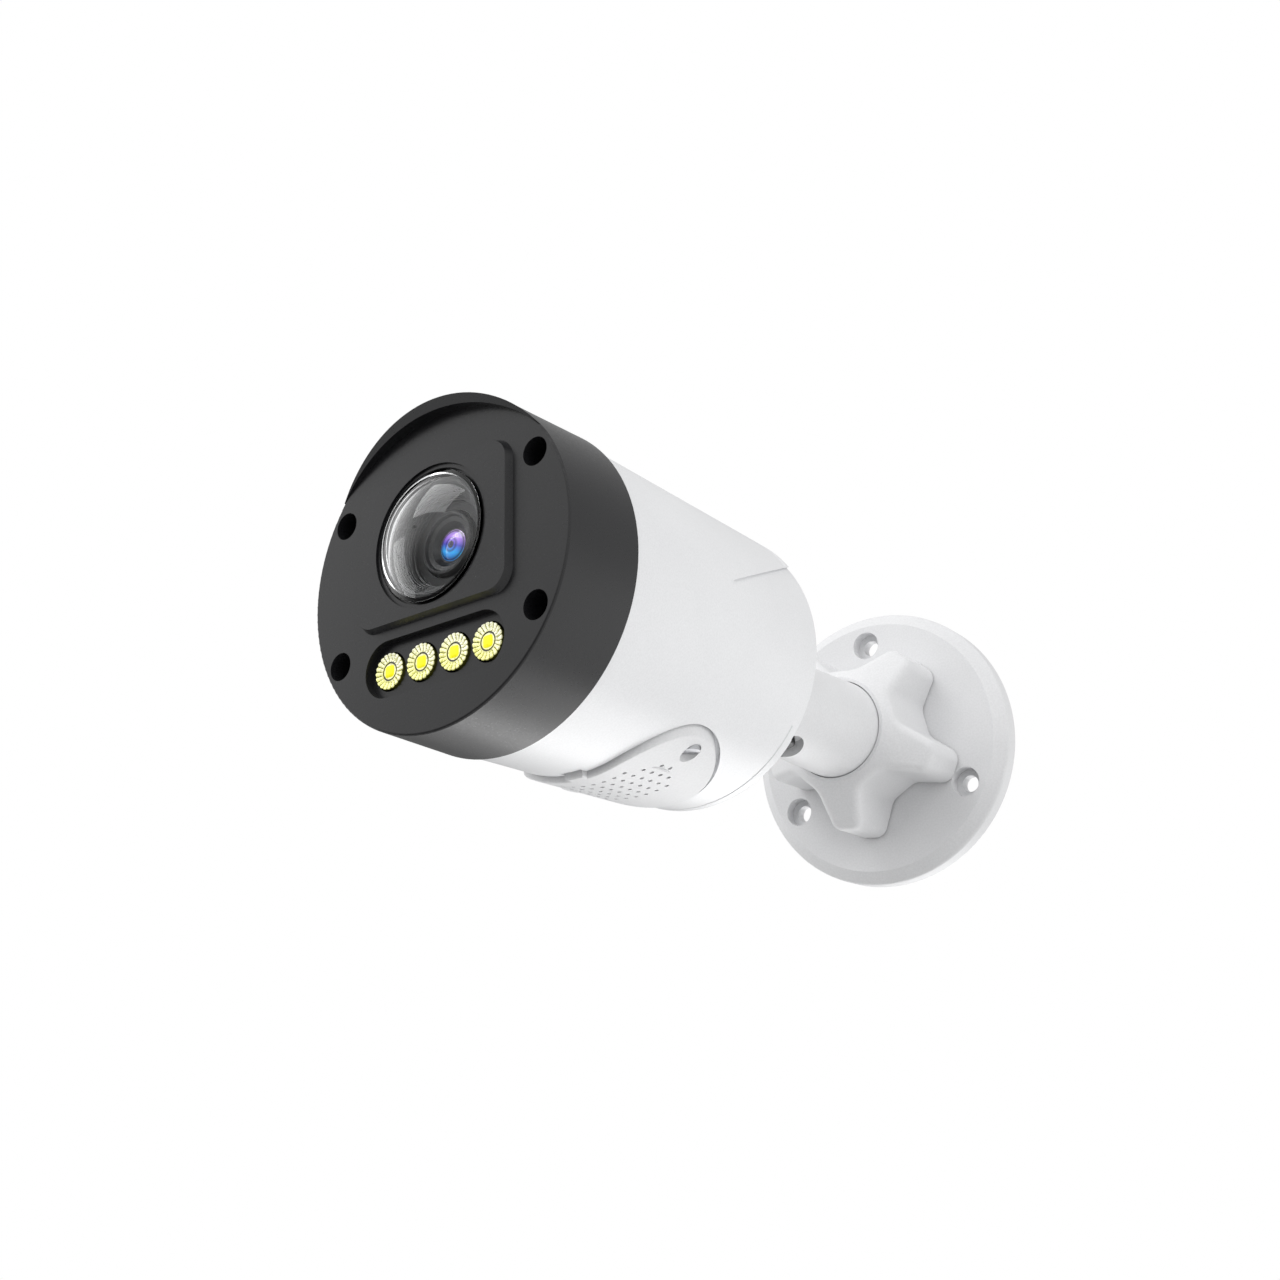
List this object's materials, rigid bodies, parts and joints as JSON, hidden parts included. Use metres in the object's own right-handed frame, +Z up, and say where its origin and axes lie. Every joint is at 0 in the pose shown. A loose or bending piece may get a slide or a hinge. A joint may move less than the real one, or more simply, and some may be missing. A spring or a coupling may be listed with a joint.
{
  "type": "bullet security camera",
  "caption": "Bullet security camera with a domed lens window, lamp slot, underside speaker cover and a swivel wall bracket with knuckle and lobed lock collar.",
  "frame": {"origin": "centre of the wall screw circle on the bracket's back face, which lies against the wall", "axes": "+Y out of the back face into the wall, so the camera looks along -Y; +Z up; +X to the right of the object seen from the front"},
  "size_m": [0.082, 0.1965, 0.082],
  "materials": {
    "white_paint": "smooth semi-matt white powder coat on cast aluminium",
    "white_plastic": "fine semi-matt white moulded plastic",
    "dark_plastic": "satin charcoal moulded plastic with a very fine grain",
    "lens_black": "matt black anti-reflective plastic with fine turned rings",
    "window_clear": "clear polished dome",
    "lens_glass": "coated lens glass with a violet and blue sheen",
    "filter_red": "infra-red cut filter glass, pink by reflection",
    "filter_clear": "plain filter glass",
    "rubber_black": "matt black rubber",
    "black_steel": "black oxide steel",
    "bright_steel": "zinc plated steel",
    "brass": "turned brass",
    "nylon": "natural nylon",
    "board_green": "green circuit board",
    "board_black": "black circuit board",
    "chip_black": "moulded chip package",
    "lamp_clear": "clear moulded faceted lens over a warm lamp",
    "lamp_phosphor": "yellow phosphor",
    "speaker_paper": "coated speaker cone",
    "card_black": "plain black memory card"
  },
  "bodies": {
    "bracket_base": {"base_plate": "white_plastic", "friction_washer": "nylon"},
    "collar_body": {"lock_collar": "white_plastic"},
    "arm_body": {"swivel_arm": "white_plastic", "knuckle_washers": "nylon", "pivot_screw": "black_steel", "pivot_nut": "bright_steel"},
    "neck_body": {"neck": "white_plastic", "neck_seal": "rubber_black", "neck_washer": "nylon", "neck_retainer": "bright_steel"},
    "shuttle_body": {"filter_shuttle": "lens_black", "ir_cut_filter": "filter_red", "clear_filter": "filter_clear"},
    "card_body": {"memory_card": "card_black"},
    "button_body": {"reset_button": "nylon"},
    "camera_head": {"belly_board": "board_green", "board_spacers": "brass", "bottom_cover": "white_plastic", "button_switch": "chip_black", "cable_gland": "rubber_black", "cable_header": "nylon", "card_socket": "bright_steel", "cover_screws": "bright_steel", "cover_seal": "rubber_black", "filter_coil": "brass", "front_cap": "dark_plastic", "front_lens": "lens_glass", "front_screws": "black_steel", "front_seal": "rubber_black", "image_sensor": "chip_black", "lamp_board": "board_black", "lamp_chip_1": "lamp_phosphor", "lamp_chip_2": "lamp_phosphor", "lamp_chip_3": "lamp_phosphor", "lamp_chip_4": "lamp_phosphor", "lamp_holder": "lens_black", "lamp_lens_1": "lamp_clear", "lamp_lens_2": "lamp_clear", "lamp_lens_3": "lamp_clear", "lamp_lens_4": "lamp_clear", "lens_baffle": "lens_black", "lens_barrel": "lens_black", "lens_holder": "lens_black", "main_board": "board_green", "main_housing": "white_paint", "microphone": "bright_steel", "processor": "chip_black", "rear_cap": "white_paint", "rear_lens": "lens_glass", "rear_posts": "brass", "rear_screws": "bright_steel", "sensor_board": "board_green", "speaker_cone": "speaker_paper", "speaker_frame": "lens_black", "speaker_magnet": "bright_steel", "window_dome": "window_clear", "window_seal": "rubber_black"}
  },
  "joints": [
    {"name": "collar_turn", "type": "hinge", "parent": "bracket_base", "child": "collar_body", "pos_m": [0, -0.02, 0], "axis": [0, -1, 0], "range_deg": [0, 180]},
    {"name": "arm_swivel", "type": "hinge", "parent": "bracket_base", "child": "arm_body", "pos_m": [0, -0.02, 0], "axis": [0, -1, 0], "range_deg": [-180, 180]},
    {"name": "knuckle_bend", "type": "hinge", "parent": "arm_body", "child": "neck_body", "pos_m": [0, -0.064, 0], "axis": [0, 0, 1], "range_deg": [-90, 0]},
    {"name": "camera_roll", "type": "hinge", "parent": "neck_body", "child": "camera_head", "pos_m": [0, -0.1, 0], "axis": [0, -1, 0], "range_deg": [-180, 180]},
    {"name": "filter_shift", "type": "slide", "parent": "camera_head", "child": "shuttle_body", "axis": [1, 0, 0], "range_m": [0, 0.006]},
    {"name": "card_slide", "type": "slide", "parent": "camera_head", "child": "card_body", "axis": [0, 1, 0], "range_m": [0, 0.008]},
    {"name": "reset_press", "type": "slide", "parent": "camera_head", "child": "button_body", "axis": [0, 0, 1], "range_m": [0, 0.0004], "stiffness_N_per_m": 800}
  ]
}
